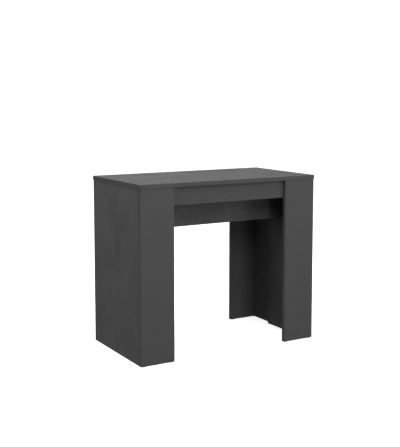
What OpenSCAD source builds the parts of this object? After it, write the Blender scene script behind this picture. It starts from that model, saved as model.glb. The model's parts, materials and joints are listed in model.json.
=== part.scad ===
// Extendable console dining table, drawn closed. Two mirror-image halves, each a half top on
// L-shaped board legs, part along Y on a pair of telescopic rails, and a central frame that hangs
// on the rails' middle members and stands on the floor follows them at half their distance.
// X runs along the top, -Y is the front, Z is up, and the origin is on the floor under the centre.

/* [Top] */
// Length of the top, along X
top_l = 900; // [880:10:1000]
// Depth of the closed top, along Y
top_d = 480; // [470:10:560]
// Height of the top above the floor
table_h = 770; // [750:5:790]
// How far the top stands out past the legs
overhang = 2; // [1:0.5:6]
// Gap between the two closed halves
seam = 0.6; // [0.4:0.1:1.5]

/* [Boards] */
// Thickness of the melamine boards
board = 18; // [18:1:20]
// Thickness of the plastic edging on them
edge_t = 1; // [0.4:0.2:2]

/* [Legs and apron] */
// Width of each leg face panel
face_w = 160; // [150:5:180]
// Height of the apron boards
apron_h = 80; // [78:1:90]
// Height of the glides under the legs
glide_h = 2; // [1:0.5:5]

/* [Central frame] */
// Depth of the central legs, along Y
centre_d = 138; // [124:2:160]
// Gap between a central leg and the side panels outside it
centre_gap = 1; // [0.5:0.5:3]
// Height of the crosspieces' lower edge
cross_z = 554; // [520:2:580]
// Gap between the crosspieces and the middle rail members over them
cross_gap = 3; // [2:0.5:6]

/* [Rails] */
// Height of a rail member's section
rail_h = 56; // [54:1:58]
// Thickness of a rail member's body
rail_t = 9.7; // [9.7:0.1:10.2]
// Clearance between members that slide on each other
rail_play = 0.3; // [0.2:0.05:0.4]

/* [Fittings] */
// Diameter of the wooden dowels and of the locating pins
dowel_d = 8; // [6:1:8]
// Diameter of the cam housings
cam_d = 15; // [12:0.5:15]
// Diameter of the glides
glide_d = 16; // [12:1:17]

/* [Hidden] */
$fn = 48;

board_colour = [0.29, 0.29, 0.30];
edging_colour = [0.25, 0.25, 0.26];
alloy_colour = [0.62, 0.63, 0.64];
zinc_colour = [0.62, 0.62, 0.60];
cam_colour = [0.30, 0.30, 0.31];
steel_colour = [0.55, 0.56, 0.58];
bracket_colour = [0.15, 0.15, 0.16];
beech_colour = [0.80, 0.64, 0.44];
glide_colour = [0.10, 0.10, 0.11];
felt_colour = [0.12, 0.12, 0.12];

cut = 0.5;                // how far a cutter stands out of an open face
glue = 0.2;               // bore over dowel, bolt or screw, in diameter
pin_play = 0.5;           // bore over locating pin, in diameter
hair = 0.05;              // hairline where the ends of two edging strips meet

// Planes of the boards. The front half is drawn, and the rear half is its mirror image.
top_z = table_h - board;
side_out = top_l / 2 - overhang;
side_in = side_out - board;
side_mid = side_out - board / 2;
face_out = top_d / 2 - overhang;
face_in = face_out - board;
face_mid = face_out - board / 2;
apron_in = face_in - board;
apron_mid = face_in - board / 2;
half_d = top_d / 2 - seam / 2;
apron_z = top_z - apron_h;

// Fitting sites are points in the plane where one board's edge meets another board's face, each
// with the turn that takes +Z into the edge and +X towards the first board's open face.
down_in_side = [0, 180, 0];
down_in_apron = [180, 0, 90];
back_in_side = [90, 0, 180];
inward_in_apron = [-90, 0, 90];
side_cam_y = [60, 170];
corner_cam_z = [100, 376, 650];
corner_dowel_z = [238, 513];
cam_sites = [
  for (y = side_cam_y) [[side_mid, -y, top_z], down_in_side],
  [[140, -apron_mid, top_z], down_in_apron],
  for (z = corner_cam_z) [[side_mid, -face_in, z], back_in_side],
  [[side_in, -apron_mid, apron_z + 28], inward_in_apron]
];
dowel_sites = [
  [[side_mid, -115, top_z], down_in_side],
  for (x = [face_w / 4, face_w * 3 / 4]) [[side_out - x, -face_mid, top_z], down_in_apron],
  for (x = [60, 220]) [[x, -apron_mid, top_z], down_in_apron],
  for (z = corner_dowel_z) [[side_mid, -face_in, z], back_in_side],
  [[side_in, -apron_mid, apron_z + 58], inward_in_apron]
];

// Cam fitting: a bolt in one board's face, and a turned housing that draws its head in.
cam_reach = 34;           // from the board's edge to the housing's centre
cam_depth = 12.5;
bolt_grip = 11;           // length held in the board's face
bolt_d = 7.8;
bolt_neck_d = 5;
bolt_head_d = 7;
bolt_head_h = 4;
dowel_face = 11;          // length of a dowel in the board's face
dowel_edge = 19;          // length of a dowel in the board's edge

// Countersunk screws through the apron into the leg faces
wood_screw_d = 4;
wood_screw_l = 30;
wood_head_d = 8;
wood_head_h = 2.5;
apron_screw_x = [side_out - face_w + 22, side_out - face_w + 72];
apron_screw_z = apron_z + 18;

// Angles that fix the end rail members to the tops, each with pan-head screws up into the top
// and bolts into the member
angle_t = 3;              // of the angles, and of the carriers below
angle_w = 20;
angle_h = 36;
angle_end = 8;            // from the angle's ends to the seam and the apron
angle_screw_l = 15;
angle_screw_y = [30, 100, 170];
angle_bolt_y = [65, 135];
rail_bolt_d = 5;
rail_bolt_in = 6;
rail_head_d = 9;
rail_head_h = 3;

// Felt strip along the rear top's seam edge, which the front top closes against
felt_play = 0.02;         // left between the strip and the front top
felt_low = 0.5;           // from the tops' undersides up to the strip
felt_h = 13.5;
felt_end = 0.2;           // from the strip's ends to the tops' ends

pin_x = [120, 345];
pin_in = 18;
pin_out = 12;
pin_hole = 14;            // depth of its bore in the rear top
glide_sites = [
  [side_out - face_w + 16, -face_mid], [side_out - 16, -face_mid], [side_mid, -40]
];
nail_d = 2.4;
nail_l = 14;

// Rails: seven members side by side, counted from the outside in. Member 1 is fixed to the rear
// top, member 4 to the central frame and member 7 to the front top. Each of the first six has two
// T-shaped tongues that run in slots in the next one.
members = 7;
middle = 4;
rail_out = side_in - 46;
rail_top_gap = 0.5;
rail_l = 2 * apron_in - 8;
rail_z = top_z - rail_top_gap - rail_h;
tee_z = [rail_h / 2 - 14, rail_h / 2 + 14];
mouth_h = 6;
mouth_d = 2;
slot_h = 13;
slot_d = 3;
foot_h = 1;               // how far the middle members reach below the others

// Central frame
centre_out = side_in - centre_gap;
centre_in = centre_out - board;
centre_top_gap = 4;
cross_top = rail_z - foot_h - cross_gap;
cross_mid = centre_d / 2 - board / 2;
confirmat_d = 6.8;
confirmat_l = 50;
confirmat_head_d = 10;
confirmat_head_h = 4;
confirmat_z = [cross_z + 36, cross_top - 36];
frame_dowel_z = (cross_z + cross_top) / 2;
centre_glide_y = 50;
carrier_w = 40;
carrier_drop = 42;
carrier_bolt_y = 25;
carrier_screw_x = 12;
carrier_screw_up = 14;    // above the carrier's lower edge
carrier_screw_l = 14;

// Outboard face of rail member k
function rail_x(k) = rail_out - (k - 1) * (rail_t + rail_play);
// Free faces of the end members, and the side of each face that its angle stands on
outer_face = [rail_out, 1];
inner_face = [rail_x(members) - rail_t, -1];
middle_x = rail_x(middle) - rail_t / 2;
carrier_z = rail_z - foot_h - angle_t;
carrier_low_z = carrier_z + angle_t - carrier_drop;
carrier_y = centre_d / 2 - board;
centre_glide_sites = [for (way = [-1, 1]) [centre_out - board / 2, way * centre_glide_y]];

module rear() mirror([0, 1, 0]) children();
module left() mirror([1, 0, 0]) children();
module both_ends() {
  children();
  left() children();
}
module both_faces() {
  children();
  rear() children();
}
module at_sites(sites) for (s = sites) translate(s[0]) rotate(s[1]) children();

// A board between two corners
module panel(from, to) translate(from) cube(to - from);

// --- Cutters and fittings, in a site's own frame -----------------------------------------------

module cam_cutter() {
  translate([0, 0, -bolt_grip - glue])
    cylinder(d = bolt_d + glue, h = bolt_grip + glue + cam_reach);
  translate([board / 2 - cam_depth, 0, cam_reach])
    rotate([0, 90, 0]) cylinder(d = cam_d + glue, h = cam_depth + cut);
}

module dowel_cutter()
  translate([0, 0, -dowel_face - glue])
    cylinder(d = dowel_d + glue, h = dowel_face + dowel_edge + 2 * glue);

module cam_housing() {
  recess = 1.5;
  blade = 1.2;
  difference() {
    translate([board / 2 - cam_depth, 0, cam_reach])
      rotate([0, 90, 0]) cylinder(d = cam_d, h = cam_depth);
    cylinder(d = bolt_head_d + 1, h = cam_reach + bolt_head_h / 2 + glue);
    for (turn = [0, 90])
      translate([board / 2 - recess, 0, cam_reach])
        rotate([turn + 45, 0, 0])
          translate([0, -cam_d / 4, -blade / 2]) cube([recess + cut, cam_d / 2, blade]);
  }
}

module cam_bolt() {
  neck = cam_reach - bolt_head_h / 2;
  translate([0, 0, -bolt_grip]) cylinder(d = bolt_d, h = bolt_grip);
  cylinder(d = bolt_neck_d, h = neck);
  translate([0, 0, neck]) cylinder(d = bolt_head_d, h = bolt_head_h);
}

module dowel() translate([0, 0, -dowel_face]) cylinder(d = dowel_d, h = dowel_face + dowel_edge);

// --- Cutters and fittings of one end of the front half -----------------------------------------

module end_cutters() {
  at_sites(cam_sites) cam_cutter();
  at_sites(dowel_sites) dowel_cutter();
  at_apron_screws() wood_screw(glue);
  at_glides(glide_sites) nail(glue);
}

module at_apron_screws()
  for (x = apron_screw_x) translate([x, -apron_in, apron_screw_z]) rotate([90, 0, 0]) children();

// A countersunk screw driven along +Z from the origin, drawn larger by play as its cutter
module wood_screw(play) {
  cylinder(d1 = wood_head_d, d2 = wood_screw_d, h = wood_head_h);
  cylinder(d = wood_screw_d + play, h = wood_screw_l + play);
}

module at_glides(sites) for (s = sites) translate([s[0], s[1], glide_h]) children();
module nail(play) translate([0, 0, -play]) cylinder(d = nail_d + play, h = nail_l + 2 * play);
module glide() {
  bevel = glide_h * 0.3;
  translate([0, 0, -glide_h]) cylinder(d1 = glide_d - 2 * bevel, d2 = glide_d, h = bevel);
  translate([0, 0, bevel - glide_h]) cylinder(d = glide_d, h = glide_h - bevel);
  cylinder(d = nail_d, h = nail_l);
}

// Pins lie along Y in the front top's seam edge, with +Z into the front top
module at_pins()
  for (x = pin_x) translate([x, -seam / 2, table_h - board / 2]) rotate([90, 0, 0]) children();

// Places along an angle on a member's free face: screws up into the top, and bolts into the member
module at_angle_screws(face)
  for (y = angle_screw_y)
    translate([face[0] + face[1] * (angle_t + angle_w) / 2, -y, top_z - angle_t]) children();
module at_angle_bolts(face)
  for (y = angle_bolt_y)
    translate([face[0] + face[1] * angle_t, -y, rail_z + rail_h / 2])
      rotate([0, -90 * face[1], 0]) children();
module pan_screw(length) {
  translate([0, 0, -wood_head_h]) cylinder(d = wood_head_d, h = wood_head_h);
  cylinder(d = wood_screw_d, h = length);
}
module pan_screw_cutter(length)
  translate([0, 0, -cut]) cylinder(d = wood_screw_d + glue, h = length + glue + cut);

// --- Boards of the front half ------------------------------------------------------------------

module half_top(face)
  color(board_colour)
    difference() {
      panel([edge_t - top_l / 2, edge_t - top_d / 2, top_z], [top_l / 2 - edge_t, -seam / 2, table_h]);
      both_ends() end_cutters();
      both_ends() at_angle_screws(face) pan_screw_cutter(angle_screw_l);
      children();
    }

module top_edging()
  color(edging_colour) {
    panel([-top_l / 2, -top_d / 2, top_z], [top_l / 2, edge_t - top_d / 2, table_h]);
    both_ends()
      panel([top_l / 2 - edge_t, edge_t + hair - top_d / 2, top_z], [top_l / 2, -seam / 2, table_h]);
  }

module leg_face()
  color(board_colour)
    difference() {
      panel([side_out - face_w + edge_t, -face_out, glide_h], [side_out - edge_t, -face_in, top_z]);
      end_cutters();
    }

module side_panel()
  color(board_colour)
    difference() {
      panel([side_in, -face_in, glide_h], [side_out, -seam / 2 - edge_t, top_z]);
      end_cutters();
    }

module apron()
  color(board_colour)
    difference() {
      panel([-side_in, -face_in, apron_z + edge_t], [side_in, -apron_in, top_z]);
      both_ends() end_cutters();
    }

module panel_edging()
  color(edging_colour) {
    both_ends() {
      for (x = [side_out - face_w, side_out - edge_t])
        panel([x, -face_out, glide_h], [x + edge_t, -face_in, top_z]);
      panel([side_in, -seam / 2 - edge_t, glide_h], [side_out, -seam / 2, top_z]);
    }
    panel([-side_in, hair - face_in, apron_z], [side_in, -apron_in, apron_z + edge_t]);
  }

module cams() color(cam_colour) both_ends() at_sites(cam_sites) cam_housing();
module cam_bolts() color(zinc_colour) both_ends() at_sites(cam_sites) cam_bolt();
module dowels() color(beech_colour) both_ends() at_sites(dowel_sites) dowel();
module apron_screws() color(steel_colour) both_ends() at_apron_screws() wood_screw(0);
module glides() color(glide_colour) both_ends() at_glides(glide_sites) glide();
module rail_screws(face)
  color(steel_colour) both_ends() at_angle_screws(face) pan_screw(angle_screw_l);
module rail_bolts(face)
  color(steel_colour) both_ends() at_angle_bolts(face) rail_bolt();

// --- Rails --------------------------------------------------------------------------------------

// Section of member k in X and Z, with its outboard face on x = 0 and its lower edge on y = 0
module rail_section(k) {
  neck = rail_play + mouth_d + rail_play;
  head = slot_d - 2 * rail_play;
  foot = k == middle ? foot_h : 0;
  difference() {
    union() {
      translate([-rail_t, -foot]) square([rail_t, rail_h + foot]);
      if (k < members)
        for (z = tee_z) {
          translate([-rail_t - neck - head / 2, z - mouth_h / 2 + rail_play])
            square([neck + head, mouth_h - 2 * rail_play]);
          translate([-rail_t - neck - head, z - slot_h / 2 + rail_play])
            square([head, slot_h - 2 * rail_play]);
        }
    }
    if (k > 1)
      for (z = tee_z) {
        translate([-mouth_d - slot_d / 2, z - mouth_h / 2]) square([mouth_d + slot_d, mouth_h]);
        translate([-mouth_d - slot_d, z - slot_h / 2]) square([slot_d, slot_h]);
      }
  }
}

module rail(k)
  color(alloy_colour)
    translate([rail_x(k), 0, rail_z])
      rotate([90, 0, 0]) linear_extrude(rail_l, center = true) rail_section(k);

// A bolt driven along +Z through a strip angle_t thick whose near face is at the origin
module rail_bolt() {
  translate([0, 0, -rail_head_h]) cylinder(d = rail_head_d, h = rail_head_h);
  cylinder(d = rail_bolt_d, h = angle_t + rail_bolt_in);
}
module rail_bolt_cutter()
  translate([0, 0, -cut]) cylinder(d = rail_bolt_d + glue, h = angle_t + rail_bolt_in + glue + cut);

module first_rail()
  color(alloy_colour)
    difference() {
      rail(1);
      rear() at_angle_bolts(outer_face) rail_bolt_cutter();
    }

module last_rail()
  color(alloy_colour)
    difference() {
      rail(members);
      at_angle_bolts(inner_face) rail_bolt_cutter();
    }

// L-section, with one leg under the top and the other on the member's free face
module angle_section(way) {
  for (size = [[angle_w, angle_t], [angle_t, angle_h]])
    translate([way < 0 ? -size[0] : 0, -size[1]]) square(size);
}

module rail_angles(face)
  color(alloy_colour)
    both_ends()
      difference() {
        translate([face[0], -angle_end, top_z])
          rotate([90, 0, 0]) linear_extrude(apron_in - 2 * angle_end) angle_section(face[1]);
        at_angle_screws(face) pan_screw_cutter(angle_screw_l);
        at_angle_bolts(face) rail_bolt_cutter();
      }

module middle_rail()
  color(alloy_colour)
    difference() {
      rail(middle);
      at_carrier_bolts() rail_bolt_cutter();
    }

// --- Central frame ------------------------------------------------------------------------------

module at_carrier_bolts()
  for (way = [-1, 1]) translate([middle_x, way * carrier_bolt_y, carrier_z]) children();
module at_carrier_screws()
  for (way = [-1, 1])
    translate([middle_x + way * carrier_screw_x, angle_t - carrier_y, carrier_low_z + carrier_screw_up])
      rotate([90, 0, 0]) children();
module at_confirmats()
  for (z = confirmat_z) translate([centre_out, -cross_mid, z]) rotate([0, -90, 0]) children();
module confirmat(play) {
  cylinder(d = confirmat_head_d + play, h = confirmat_head_h);
  cylinder(d = confirmat_d + play, h = confirmat_l + play);
}
module at_frame_dowel()
  translate([centre_in, -cross_mid, frame_dowel_z]) rotate([0, -90, 0]) children();

module frame_cutters()
  both_faces() {
    at_confirmats() confirmat(glue);
    at_frame_dowel() dowel_cutter();
    at_carrier_screws() pan_screw_cutter(carrier_screw_l);
  }

module centre_leg()
  color(board_colour)
    difference() {
      panel(
        [centre_in, edge_t - centre_d / 2, glide_h],
        [centre_out, centre_d / 2 - edge_t, top_z - centre_top_gap]
      );
      frame_cutters();
      at_glides(centre_glide_sites) nail(glue);
    }

module crosspiece()
  color(board_colour)
    difference() {
      panel([-centre_in, -centre_d / 2, cross_z + edge_t], [centre_in, -carrier_y, cross_top]);
      both_ends() frame_cutters();
    }

module centre_edging()
  color(edging_colour)
    both_faces() {
      both_ends()
        panel(
          [centre_in, -centre_d / 2, glide_h],
          [centre_out, edge_t - centre_d / 2, top_z - centre_top_gap]
        );
      panel([hair - centre_in, -centre_d / 2, cross_z], [centre_in - hair, -carrier_y, cross_z + edge_t]);
    }

module centre_confirmats() color(zinc_colour) both_ends() both_faces() at_confirmats() confirmat(0);
module centre_dowels() color(beech_colour) both_ends() both_faces() at_frame_dowel() dowel();
module centre_glides() color(glide_colour) both_ends() at_glides(centre_glide_sites) glide();

// A steel strap under the middle member, with its ends turned down onto the crosspieces
module rail_carrier()
  color(bracket_colour)
    difference() {
      union() {
        panel(
          [middle_x - carrier_w / 2, -carrier_y, carrier_z],
          [middle_x + carrier_w / 2, carrier_y, carrier_z + angle_t]
        );
        both_faces()
          panel(
            [middle_x - carrier_w / 2, -carrier_y, carrier_low_z],
            [middle_x + carrier_w / 2, angle_t - carrier_y, carrier_z + angle_t]
          );
      }
      at_carrier_bolts() rail_bolt_cutter();
      both_faces() at_carrier_screws() pan_screw_cutter(carrier_screw_l);
    }

module carrier_bolts() color(steel_colour) both_ends() at_carrier_bolts() rail_bolt();
module carrier_screws()
  color(steel_colour) both_ends() both_faces() at_carrier_screws() pan_screw(carrier_screw_l);

// --- Nodes --------------------------------------------------------------------------------------

module front_top()
  half_top(inner_face)
    both_ends() at_pins() translate([0, 0, -cut]) cylinder(d = dowel_d + glue, h = pin_in + glue + cut);

module rear_top()
  rear() half_top(outer_face)
    both_ends() at_pins() translate([0, 0, -cut]) cylinder(d = dowel_d + pin_play, h = pin_hole + cut);

module seam_felt()
  color(felt_colour)
    difference() {
      panel(
        [felt_end - top_l / 2, felt_play - seam / 2, top_z + felt_low],
        [top_l / 2 - felt_end, seam / 2, top_z + felt_low + felt_h]
      );
      both_ends() at_pins()
        translate([0, 0, -seam - cut]) cylinder(d = dowel_d + pin_play, h = seam + 2 * cut);
    }

module locating_pins()
  color(glide_colour)
    both_ends() at_pins()
      translate([0, 0, -pin_out]) cylinder(d = dowel_d, h = pin_out + pin_in);

front_top();
top_edging();  // front_top_edging
left() leg_face();  // front_left_leg_face
leg_face();  // front_right_leg_face
left() side_panel();  // front_left_side_panel
side_panel();  // front_right_side_panel
apron();  // front_apron
panel_edging();  // front_panel_edging
cams();  // front_cam_housings
cam_bolts();  // front_cam_bolts
dowels();  // front_dowels
apron_screws();  // front_apron_screws
rail_angles(inner_face);  // front_rail_angles
rail_bolts(inner_face);  // front_rail_bolts
rail_screws(inner_face);  // front_rail_screws
glides();  // front_glides
locating_pins();
rear_top();
rear() top_edging();  // rear_top_edging
rear() left() leg_face();  // rear_left_leg_face
rear() leg_face();  // rear_right_leg_face
rear() left() side_panel();  // rear_left_side_panel
rear() side_panel();  // rear_right_side_panel
rear() apron();  // rear_apron
rear() panel_edging();  // rear_panel_edging
rear() cams();  // rear_cam_housings
rear() cam_bolts();  // rear_cam_bolts
rear() dowels();  // rear_dowels
rear() apron_screws();  // rear_apron_screws
rear() rail_angles(outer_face);  // rear_rail_angles
rear() rail_bolts(outer_face);  // rear_rail_bolts
rear() rail_screws(outer_face);  // rear_rail_screws
rear() glides();  // rear_glides
seam_felt();
left() first_rail();  // left_rail_1
left() rail(2);  // left_rail_2
left() rail(3);  // left_rail_3
left() middle_rail();  // left_rail_4
left() rail(5);  // left_rail_5
left() rail(6);  // left_rail_6
left() last_rail();  // left_rail_7
first_rail();  // right_rail_1
rail(2);  // right_rail_2
rail(3);  // right_rail_3
middle_rail();  // right_rail_4
rail(5);  // right_rail_5
rail(6);  // right_rail_6
last_rail();  // right_rail_7
left() centre_leg();  // centre_left_leg
centre_leg();  // centre_right_leg
crosspiece();  // front_crosspiece
rear() crosspiece();  // rear_crosspiece
centre_edging();
centre_confirmats();
centre_dowels();
centre_glides();
left() rail_carrier();  // left_rail_carrier
rail_carrier();  // right_rail_carrier
carrier_bolts();
carrier_screws();
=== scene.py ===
"""Looks of the extendable console dining table: materials, softened edges, light and camera."""
import json
import math

import bpy
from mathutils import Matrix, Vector

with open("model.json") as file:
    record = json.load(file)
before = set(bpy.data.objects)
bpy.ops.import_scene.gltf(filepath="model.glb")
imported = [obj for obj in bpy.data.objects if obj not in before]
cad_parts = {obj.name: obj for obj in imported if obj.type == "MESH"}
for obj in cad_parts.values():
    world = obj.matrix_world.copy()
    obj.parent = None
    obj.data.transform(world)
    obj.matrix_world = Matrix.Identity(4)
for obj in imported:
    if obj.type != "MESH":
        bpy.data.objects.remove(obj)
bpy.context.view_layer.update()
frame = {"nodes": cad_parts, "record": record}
NODES = frame["nodes"]
SUBPARTS = frame["record"]["subparts"]

MM = 0.001
WHITE = (1, 1, 1, 1)
NOISE_SPAN = (0.3, 0.7)  # where nearly all the values of a noise lie


# --- Node helpers ---------------------------------------------------------------------------------

def connect(tree, socket, value):
    """Wires an input socket to another node's output, or sets it."""
    if isinstance(value, bpy.types.NodeSocket):
        tree.links.new(value, socket)
    else:
        socket.default_value = value


def put(tree, kind, inputs=None, **settings):
    """A new node with its settings, and its sockets wired or set by name or number."""
    node = tree.nodes.new("ShaderNode" + kind)
    for name, value in settings.items():
        setattr(node, name, value)
    for name, value in (inputs or {}).items():
        connect(tree, node.inputs[name], value)
    return node


def calc(tree, operation, *values):
    """The result of a Math node."""
    return put(tree, "Math", dict(enumerate(values)), operation=operation).outputs[0]


def total(tree, first, *others):
    """The sum of some values."""
    result = first
    for value in others:
        result = calc(tree, "ADD", result, value)
    return result


def weighted(tree, *terms):
    """The sum of some values, each times its weight, from terms of (value, weight)."""
    return total(tree, *(calc(tree, "MULTIPLY", value, weight) for value, weight in terms))


def swing(tree, value, amount):
    """How far a noise is from its middle, times an amount."""
    return calc(tree, "MULTIPLY", calc(tree, "SUBTRACT", value, 0.5), amount)


def remap(tree, value, low, high, to_low=0.0, to_high=1.0, smooth=False):
    """A value carried from one range to another, and held to it."""
    return put(tree, "MapRange",
               {"Value": value, "From Min": low, "From Max": high, "To Min": to_low, "To Max": to_high},
               interpolation_type="SMOOTHSTEP" if smooth else "LINEAR").outputs["Result"]


def spread(tree, value, low, high):
    """A noise's usual span carried to another range."""
    return remap(tree, value, *NOISE_SPAN, low, high)


def noise(tree, vector, scale, detail=2.0, rough=0.5, twist=0.0, kind="FBM"):
    """Noise from 0 to 1, with about scale cells to the metre."""
    return put(tree, "TexNoise",
               {"Vector": vector, "Scale": scale, "Detail": detail, "Roughness": rough, "Distortion": twist},
               noise_type=kind, normalize=True).outputs["Fac"]


def cells(tree, vector, scale):
    """A Voronoi node with about scale cells to the metre."""
    return put(tree, "TexVoronoi", {"Vector": vector, "Scale": scale, "Randomness": 1.0}, feature="F1")


def place(tree, vector, move=(0, 0, 0), turn=(0, 0, 0), stretch=(1, 1, 1)):
    """A vector stretched, turned by degrees and moved. A stretch under 1 draws a pattern out."""
    return put(tree, "Mapping",
               {"Vector": vector, "Location": move, "Rotation": [math.radians(a) for a in turn],
                "Scale": stretch}).outputs["Vector"]


def blend(tree, factor, first, second):
    """The first colour where factor is 0, and the second where it is 1."""
    node = put(tree, "Mix", {0: factor}, data_type="RGBA")
    connect(tree, node.inputs[6], first)
    connect(tree, node.inputs[7], second)
    return node.outputs[2]


def ramp(tree, value, *stops):
    """The colour at a value between stops of (position, colour)."""
    node = put(tree, "ValToRGB", {"Fac": value})
    band = node.color_ramp
    while len(band.elements) < len(stops):
        band.elements.new(0.5)
    for element, (position, colour) in zip(band.elements, stops):
        element.position = position
        element.color = colour
    return node.outputs["Color"]


def grey(value, warm=0.0):
    """A linear grey, a little warmer or cooler."""
    return (value * (1 + warm), value, value * (1 - warm), 1.0)


def start_material(name, **uniform):
    """A new material: itself, its tree, the object coordinates in metres, and its shader with the
    sockets that are the same all over set."""
    material = bpy.data.materials.new(name)
    material.use_nodes = True
    tree = material.node_tree
    shader = tree.nodes["Principled BSDF"]
    for socket, value in uniform.items():
        shader.inputs[socket.replace("_", " ")].default_value = value
    return material, tree, put(tree, "TexCoord").outputs["Object"], shader


def wire(tree, shader, colour, roughness, height, bump, depth):
    """Gives a shader its colour, its roughness, and a bump of a strength and a depth in metres."""
    relief = put(tree, "Bump", {"Height": height, "Strength": bump, "Distance": depth})
    connect(tree, shader.inputs["Base Color"], colour)
    connect(tree, shader.inputs["Roughness"], roughness)
    connect(tree, shader.inputs["Normal"], relief.outputs["Normal"])


# --- Boards ---------------------------------------------------------------------------------------

def slate_group():
    """The printed and pressed decor of the boards: slate-like clouds, soft trowel marks, chalky
    veins, hairlines, flecks, fine grain and pores. Its vector is in metres, Depth is how strongly
    the clouds and marks stand out, and Tone is how light the decor is, with 0.5 in the middle."""
    tree = bpy.data.node_groups.new("slate_decor", "ShaderNodeTree")
    for name, way, kind in (("Vector", "INPUT", "Vector"), ("Depth", "INPUT", "Float"),
                            ("Tone", "INPUT", "Float"), ("Color", "OUTPUT", "Color"),
                            ("Roughness", "OUTPUT", "Float"), ("Height", "OUTPUT", "Float")):
        tree.interface.new_socket(name, in_out=way, socket_type="NodeSocket" + kind)
    given = tree.nodes.new("NodeGroupInput").outputs
    result = tree.nodes.new("NodeGroupOutput")
    at = given["Vector"]

    # From the broadest pattern to the finest
    broad = noise(tree, at, 7.0, detail=3.0, rough=0.55, twist=0.5)
    chalk = noise(tree, place(tree, at, move=(1.3, 8.8, 4.2), turn=(-31, 22, 12), stretch=(1, 0.5, 0.8)),
                  11.0, detail=6.0, rough=0.58, twist=0.8, kind="RIDGED_MULTIFRACTAL")
    mid = noise(tree, place(tree, at, move=(3.1, 1.7, 5.3)), 21.0, detail=7.0, rough=0.68, twist=0.35)
    trowel = noise(tree, place(tree, at, move=(7.7, 2.9, 1.1), turn=(34, 28, 41), stretch=(1, 0.32, 0.6)),
                   26.0, detail=8.0, rough=0.72, twist=1.2)
    dust = noise(tree, place(tree, at, move=(0.4, 0.9, 0.2)), 170.0, detail=3.0, rough=0.6)
    pores = remap(tree, cells(tree, at, 260.0).outputs["Distance"], 0.05, 0.2, 1.0, 0.0, smooth=True)
    fleck = noise(tree, place(tree, at, move=(6.4, 0.2, 9.3)), 290.0, detail=3.0, rough=0.7, twist=0.6)
    hair = noise(tree, place(tree, at, move=(5.9, 0.6, 3.4), turn=(18, 52, 33), stretch=(1, 0.06, 0.5)),
                 460.0, detail=4.0, rough=0.7, twist=0.4)
    grain = noise(tree, at, 620.0, detail=3.0, rough=0.65)

    clouds = total(tree, swing(tree, broad, 0.55), swing(tree, mid, 0.40), swing(tree, trowel, 0.38),
                   remap(tree, chalk, 0.62, 0.95, 0.0, 0.16, smooth=True))
    fine = total(tree, swing(tree, grain, 0.30), swing(tree, dust, 0.10), swing(tree, fleck, 0.34),
                 remap(tree, hair, 0.55, 0.74, 0.0, 0.13, smooth=True))
    light = total(tree, calc(tree, "MULTIPLY", clouds, given["Depth"]), fine, given["Tone"],
                  calc(tree, "MULTIPLY", pores, -0.12))
    colour = ramp(tree, light, (0.0, grey(0.030)), (0.35, grey(0.060)), (0.5, grey(0.074)),
                  (0.7, grey(0.096)), (1.0, grey(0.145)))
    roughness = spread(tree, weighted(tree, (grain, 0.5), (mid, 0.5)), 0.50, 0.66)
    height = weighted(tree, (grain, 0.55), (dust, 0.45), (pores, -0.5))
    for value, name in ((colour, "Color"), (roughness, "Roughness"), (height, "Height")):
        connect(tree, result.inputs[name], value)
    return tree


SLATE = slate_group()


def chipboard(tree, at):
    """Colour of raw pressed chips, where a board's foot has no edging."""
    chips = cells(tree, place(tree, at, stretch=(1, 1, 3)), 420.0).outputs["Color"]
    shade = put(tree, "SeparateColor", {"Color": chips}).outputs[0]
    return ramp(tree, shade, (0.0, (0.16, 0.095, 0.05, 1)), (0.45, (0.33, 0.22, 0.12, 1)),
                (1.0, (0.52, 0.38, 0.23, 1)))


def board(name, move, depth, tone, raw_foot):
    """Slate decor cut from its own part of the sheet, with bare chipboard on a raw foot."""
    material, tree, at, shader = start_material("slate_" + name, Specular_IOR_Level=0.35)
    decor = put(tree, "Group", node_tree=SLATE)
    connect(tree, decor.inputs["Vector"], place(tree, at, move=move))
    connect(tree, decor.inputs["Depth"], depth)
    connect(tree, decor.inputs["Tone"], tone)
    colour = decor.outputs["Color"]
    if raw_foot:
        normal = put(tree, "TexCoord").outputs["Normal"]
        upward = put(tree, "SeparateXYZ", {"Vector": normal}).outputs["Z"]
        underside = remap(tree, upward, -0.7, -0.95)
        colour = blend(tree, underside, colour, chipboard(tree, at))
    wire(tree, shader, colour, decor.outputs["Roughness"], decor.outputs["Height"], bump=0.35,
         depth=0.12 * MM)
    return material


# Every board is cut from its own place in the sheet of decor: (place, depth, tone). The apron's and
# crosspiece's tones are raised above the rest as painted light, lifting their shade.
BOARDS = {
    "top": ((0.0, 0.0, 0.0), 1.0, 0.49),
    "left_leg_face": ((4.1, 7.3, 2.2), 0.25, 0.49),
    "right_leg_face": ((9.4, 3.6, 6.1), 0.25, 0.49),
    "left_side_panel": ((2.7, 5.5, 8.9), 0.75, 0.49),
    "right_side_panel": ((6.6, 1.9, 3.3), 0.75, 0.49),
    # painted light: tone raised a little to lighten the shade under the top's overhang
    "apron": ((8.2, 9.1, 5.8), 0.3, 0.50),
    # painted light: tone raised to lighten the shade deep under the table, between the legs
    "crosspiece": ((5.2, 4.4, 9.7), 1.1, 0.535),
    "left_leg": ((1.6, 6.8, 7.4), 1.0, 0.49),
    "right_leg": ((3.9, 2.1, 4.8), 1.0, 0.49),
}
# What sets a rear board apart from its front twin
REAR_MOVE = (11.3, 13.7, 17.9)
REAR_TONE = 0.02


def board_material(node):
    """The decor of one board, from its node's name."""
    end, part = node.split("_", 1)
    move, depth, tone = BOARDS[part]
    if end == "rear":
        move = tuple(a + b for a, b in zip(move, REAR_MOVE))
        tone += REAR_TONE
    return board(node, move, depth, tone, raw_foot="leg" in part or "side_panel" in part)


# --- Other materials ------------------------------------------------------------------------------

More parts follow.
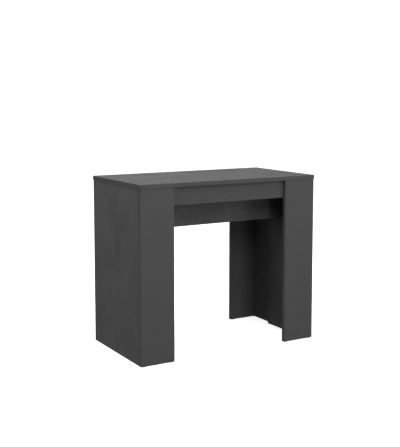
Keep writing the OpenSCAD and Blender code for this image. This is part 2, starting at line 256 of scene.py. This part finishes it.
def edging():
    """Matt plastic strip with a fine calendered grain."""
    material, tree, at, shader = start_material("edging_plastic", Specular_IOR_Level=0.45)
    streak = noise(tree, place(tree, at, stretch=(1, 1, 0.25)), 90.0, detail=4.0, rough=0.6)
    cloud = noise(tree, at, 12.0, detail=3.0)
    grain = noise(tree, at, 900.0, detail=2.0, rough=0.6)
    light = weighted(tree, (streak, 0.45), (grain, 0.3), (cloud, 0.25))
    colour = ramp(tree, light, (0.25, grey(0.046)), (0.5, grey(0.057)), (0.75, grey(0.071)))
    roughness = spread(tree, grain, 0.42, 0.54)
    wire(tree, shader, colour, roughness, grain, bump=0.3, depth=0.05 * MM)
    return material


def aluminium():
    """Matt grey anodised extrusion: die lines along its length, which is Y."""
    material, tree, at, shader = start_material("rail_aluminium", Metallic=1.0)
    lines = noise(tree, place(tree, at, stretch=(1, 0.004, 1)), 1500.0, detail=4.0, rough=0.7)
    bands = noise(tree, place(tree, at, stretch=(1, 0.02, 1)), 190.0, detail=2.0)
    bloom = noise(tree, at, 9.0, detail=4.0, rough=0.6)
    speck = noise(tree, at, 2200.0, detail=2.0, rough=0.7)
    light = weighted(tree, (lines, 0.5), (bands, 0.3), (bloom, 0.2))
    colour = ramp(tree, light, (0.3, (0.27, 0.276, 0.286, 1)), (0.5, (0.33, 0.337, 0.347, 1)),
                  (0.7, (0.38, 0.387, 0.398, 1)))
    roughness = total(tree, spread(tree, lines, 0.54, 0.64), swing(tree, speck, 0.08))
    wire(tree, shader, colour, roughness, lines, bump=0.14, depth=0.03 * MM)
    return material


def cast_zinc():
    """Dark-plated die casting: grainy, with a worn sheen on its high spots."""
    material, tree, at, shader = start_material("cam_zinc", Metallic=0.85)
    grain = noise(tree, at, 1100.0, detail=3.0, rough=0.7)
    blotch = noise(tree, at, 160.0, detail=3.0, rough=0.6)
    light = weighted(tree, (grain, 0.4), (blotch, 0.6))
    colour = ramp(tree, light, (0.3, grey(0.055)), (0.5, grey(0.095)), (0.72, grey(0.17)))
    roughness = spread(tree, light, 0.62, 0.42)
    wire(tree, shader, colour, roughness, grain, bump=0.5, depth=0.06 * MM)
    return material


def plated(name, tone, warm, mark_scale):
    """Zinc-plated steel: bright, with cloudy passivation and turning marks."""
    material, tree, at, shader = start_material(name, Metallic=1.0)
    cloud = noise(tree, at, 240.0, detail=4.0, rough=0.6, twist=0.6)
    mark = noise(tree, place(tree, at, stretch=(1, 1, 0.2)), mark_scale, detail=3.0, rough=0.6)
    light = weighted(tree, (cloud, 0.6), (mark, 0.4))
    colour = ramp(tree, light, (0.3, grey(tone * 0.72, warm)), (0.5, grey(tone, warm / 2)),
                  (0.7, grey(tone * 1.15, -warm)))
    roughness = spread(tree, light, 0.40, 0.26)
    wire(tree, shader, colour, roughness, mark, bump=0.3, depth=0.03 * MM)
    return material


def powder_coat():
    """Black powder coat with its orange peel."""
    material, tree, at, shader = start_material("black_bracket", Specular_IOR_Level=0.5)
    peel = noise(tree, at, 480.0, detail=2.0, rough=0.45)
    fleck = noise(tree, at, 2600.0, detail=2.0, rough=0.7)
    colour = ramp(tree, fleck, (0.3, grey(0.022)), (0.6, grey(0.031)), (0.8, grey(0.052)))
    roughness = spread(tree, peel, 0.38, 0.5)
    wire(tree, shader, colour, roughness, peel, bump=0.5, depth=0.15 * MM)
    return material


def beech():
    """Turned beech with fibres drawn out along Y and short darker rays."""
    material, tree, at, shader = start_material("beech", Specular_IOR_Level=0.4)
    fibre = noise(tree, place(tree, at, stretch=(1, 0.06, 1)), 900.0, detail=4.0, rough=0.65, twist=0.2)
    ray = noise(tree, place(tree, at, stretch=(1, 0.12, 1), move=(2, 5, 1)), 1500.0, detail=1.0)
    cloud = noise(tree, at, 60.0, detail=3.0)
    light = weighted(tree, (fibre, 0.6), (cloud, 0.4))
    pale = ramp(tree, light, (0.3, (0.47, 0.29, 0.15, 1)), (0.5, (0.60, 0.40, 0.23, 1)),
                (0.7, (0.70, 0.50, 0.31, 1)))
    colour = blend(tree, remap(tree, ray, 0.64, 0.74), pale, (0.36, 0.20, 0.10, 1))
    roughness = spread(tree, fibre, 0.5, 0.66)
    wire(tree, shader, colour, roughness, fibre, bump=0.4, depth=0.08 * MM)
    return material


def nylon():
    """Black moulded nylon with a light spark-eroded texture."""
    material, tree, at, shader = start_material("black_nylon", Specular_IOR_Level=0.45)
    spark = noise(tree, at, 1300.0, detail=3.0, rough=0.6)
    scuff = noise(tree, place(tree, at, turn=(0, 0, 30), stretch=(1, 0.2, 1)), 300.0, detail=4.0, rough=0.7)
    colour = ramp(tree, scuff, (0.3, grey(0.016)), (0.55, grey(0.021)), (0.78, grey(0.045)))
    roughness = spread(tree, spark, 0.42, 0.6)
    wire(tree, shader, colour, roughness, spark, bump=0.5, depth=0.05 * MM)
    return material


def felt():
    """Black needled felt: matted fibres, a soft sheen and no gloss."""
    material, tree, at, shader = start_material("black_felt", Specular_IOR_Level=0.1, Sheen_Weight=0.3,
                                                Sheen_Roughness=0.5)
    fibre = noise(tree, place(tree, at, stretch=(0.4, 1, 1)), 1800.0, detail=4.0, rough=0.7, twist=2.0)
    tuft = noise(tree, at, 260.0, detail=2.0)
    light = weighted(tree, (fibre, 0.7), (tuft, 0.3))
    colour = ramp(tree, light, (0.3, grey(0.009)), (0.5, grey(0.015)), (0.75, grey(0.035)))
    roughness = spread(tree, fibre, 0.85, 1.0)
    wire(tree, shader, colour, roughness, fibre, bump=0.8, depth=0.15 * MM)
    return material


PLAIN = {
    "edging_plastic": edging(),
    "rail_aluminium": aluminium(),
    "cam_zinc": cast_zinc(),
    "bright_zinc": plated("bright_zinc", tone=0.62, warm=0.03, mark_scale=1400.0),
    "screw_steel": plated("screw_steel", tone=0.52, warm=-0.02, mark_scale=1900.0),
    "black_bracket": powder_coat(),
    "beech": beech(),
    "black_nylon": nylon(),
    "black_felt": felt(),
}

for part in SUBPARTS:
    mesh = NODES[part["node"]].data
    slot = part["material_slot"]
    mesh.materials.clear()
    mesh.materials.append(board_material(part["node"]) if slot == "slate_melamine" else PLAIN[slot])


# --- Softened edges -------------------------------------------------------------------------------

EDGE_RADIUS = {"slate_melamine": 0.12 * MM, "edging_plastic": 0.35 * MM, "rail_aluminium": 0.2 * MM,
               "black_bracket": 0.4 * MM}
WELD_GAP = 0.002 * MM
SHARP_ANGLE = math.radians(40)


def soften(thing, radius):
    """Joins a mesh's loose faces, and rounds the edges where they meet at a sharp angle."""
    weld = thing.modifiers.new("weld", "WELD")
    weld.merge_threshold = WELD_GAP
    bevel = thing.modifiers.new("edge", "BEVEL")
    bevel.width = radius
    bevel.segments = 2
    bevel.limit_method = "ANGLE"
    bevel.angle_limit = SHARP_ANGLE
    bevel.harden_normals = True


for part in SUBPARTS:
    if part["material_slot"] in EDGE_RADIUS:
        soften(NODES[part["node"]], EDGE_RADIUS[part["material_slot"]])


# --- Floor, light and camera ----------------------------------------------------------------------

def ring(radius, height, sides):
    """The points of a level circle round Z."""
    angles = [2 * math.pi * k / sides for k in range(sides)]
    return [(radius * math.cos(a), radius * math.sin(a), height) for a in angles]


def stage_studio(reach=30.0, bend=8.0, steps=12, sides=96):
    """A plain white floor that curves up into a white wall all round. Only the camera sees it, so
    the light on the table is the softboxes' and the world's alone."""
    turns = [math.radians(90 * i / steps) for i in range(steps + 1)]
    profile = [(reach + bend * math.sin(a), bend * (1 - math.cos(a))) for a in turns]
    profile.append((reach + bend, 2 * reach))
    verts = [(0.0, 0.0, 0.0)]
    for radius, height in profile:
        verts += ring(radius, height, sides)
    faces = [(0, 1 + k, 1 + (k + 1) % sides) for k in range(sides)]
    for level in range(len(profile) - 1):
        low, high = 1 + level * sides, 1 + (level + 1) * sides
        for k in range(sides):
            after = (k + 1) % sides
            faces.append((low + k, high + k, high + after, low + after))
    mesh = bpy.data.meshes.new("floor")
    mesh.from_pydata(verts, [], faces)
    floor = bpy.data.objects.new("floor", mesh)
    bpy.context.scene.collection.objects.link(floor)
    mesh.materials.append(studio_white())
    floor.visible_diffuse = False
    floor.visible_glossy = False
    floor.visible_shadow = False


def studio_white(near=1.5, far=5.0, near_glow=0.82, far_glow=1.05):
    """White with a faint veil, which glows so that it stays white away from the softboxes."""
    material, tree, at, shader = start_material("floor_white", Roughness=0.9, Specular_IOR_Level=0.0,
                                                Emission_Color=WHITE)
    veil = noise(tree, at, 1.2, detail=3.0)
    connect(tree, shader.inputs["Base Color"], ramp(tree, veil, (0.3, grey(0.83)), (0.7, grey(0.87))))
    away = put(tree, "VectorMath", {0: at}, operation="LENGTH").outputs["Value"]
    glow = remap(tree, away, near, far, near_glow, far_glow, smooth=True)
    connect(tree, shader.inputs["Emission Strength"], glow)
    return material


def stage_world(sky=0.22, ground=0.14, horizon=(-0.06, 0.02)):
    """A weak white surround, dimmer below the horizon than above it."""
    world = bpy.data.worlds.new("studio")
    bpy.context.scene.world = world
    world.use_nodes = True
    tree = world.node_tree
    background = tree.nodes["Background"]
    upward = put(tree, "SeparateXYZ", {"Vector": put(tree, "TexCoord").outputs["Generated"]}).outputs["Z"]
    strength = remap(tree, upward, *horizon, ground, sky, smooth=True)
    connect(tree, background.inputs["Strength"], strength)
    connect(tree, background.inputs["Color"], WHITE)


def softbox(name, at, width, height, radiance, aim=(0.0, 0.0, 0.4)):
    """An area light at a place, turned to a point, as bright as asked wherever it stands."""
    lamp = bpy.data.lights.new(name, "AREA")
    lamp.shape = "RECTANGLE"
    lamp.size, lamp.size_y = width, height
    lamp.energy = radiance * math.pi * width * height
    light = bpy.data.objects.new(name, lamp)
    bpy.context.scene.collection.objects.link(light)
    light.location = at
    light.rotation_euler = (Vector(aim) - Vector(at)).to_track_quat("-Z", "Y").to_euler()
    light.visible_camera = False


def stage_camera(at, azimuth, pitch, lens, shift):
    """A camera at a place, turned about Z and tilted down, in degrees."""
    data = bpy.data.cameras.new("camera")
    data.lens = lens
    data.shift_y = shift
    camera = bpy.data.objects.new("camera", data)
    bpy.context.scene.collection.objects.link(camera)
    camera.location = at
    camera.rotation_euler = (math.radians(90 - pitch), 0, math.radians(azimuth))
    bpy.context.scene.camera = camera


stage_studio()
stage_world()
softbox("key", (-1.3, -4.9, 3.7), width=2.4, height=2.4, radiance=4.8)
softbox("front", (3.45, -4.9, 1.2), width=3.0, height=1.4, radiance=4.9)
softbox("front_low", (-0.84, -5.94, 0.8), width=0.9, height=1.0, radiance=12.8)
softbox("left", (-5.4, -0.95, 2.85), width=3.0, height=2.6, radiance=5.7)
softbox("right", (5.7, 0.0, 2.25), width=3.0, height=2.4, radiance=4.0)
softbox("rear", (-1.35, 5.0, 3.4), width=4.0, height=2.4, radiance=2.5)
softbox("overhead", (0.0, 0.0, 3.4), width=2.4, height=2.4, radiance=4.8)
stage_camera((-1.997, -3.359, 1.138), azimuth=-30.45, pitch=5.62, lens=68.7, shift=-0.10)

scene = bpy.context.scene
scene.view_settings.view_transform = "Standard"
scene.view_settings.look = "None"
scene.cycles.use_denoising = True
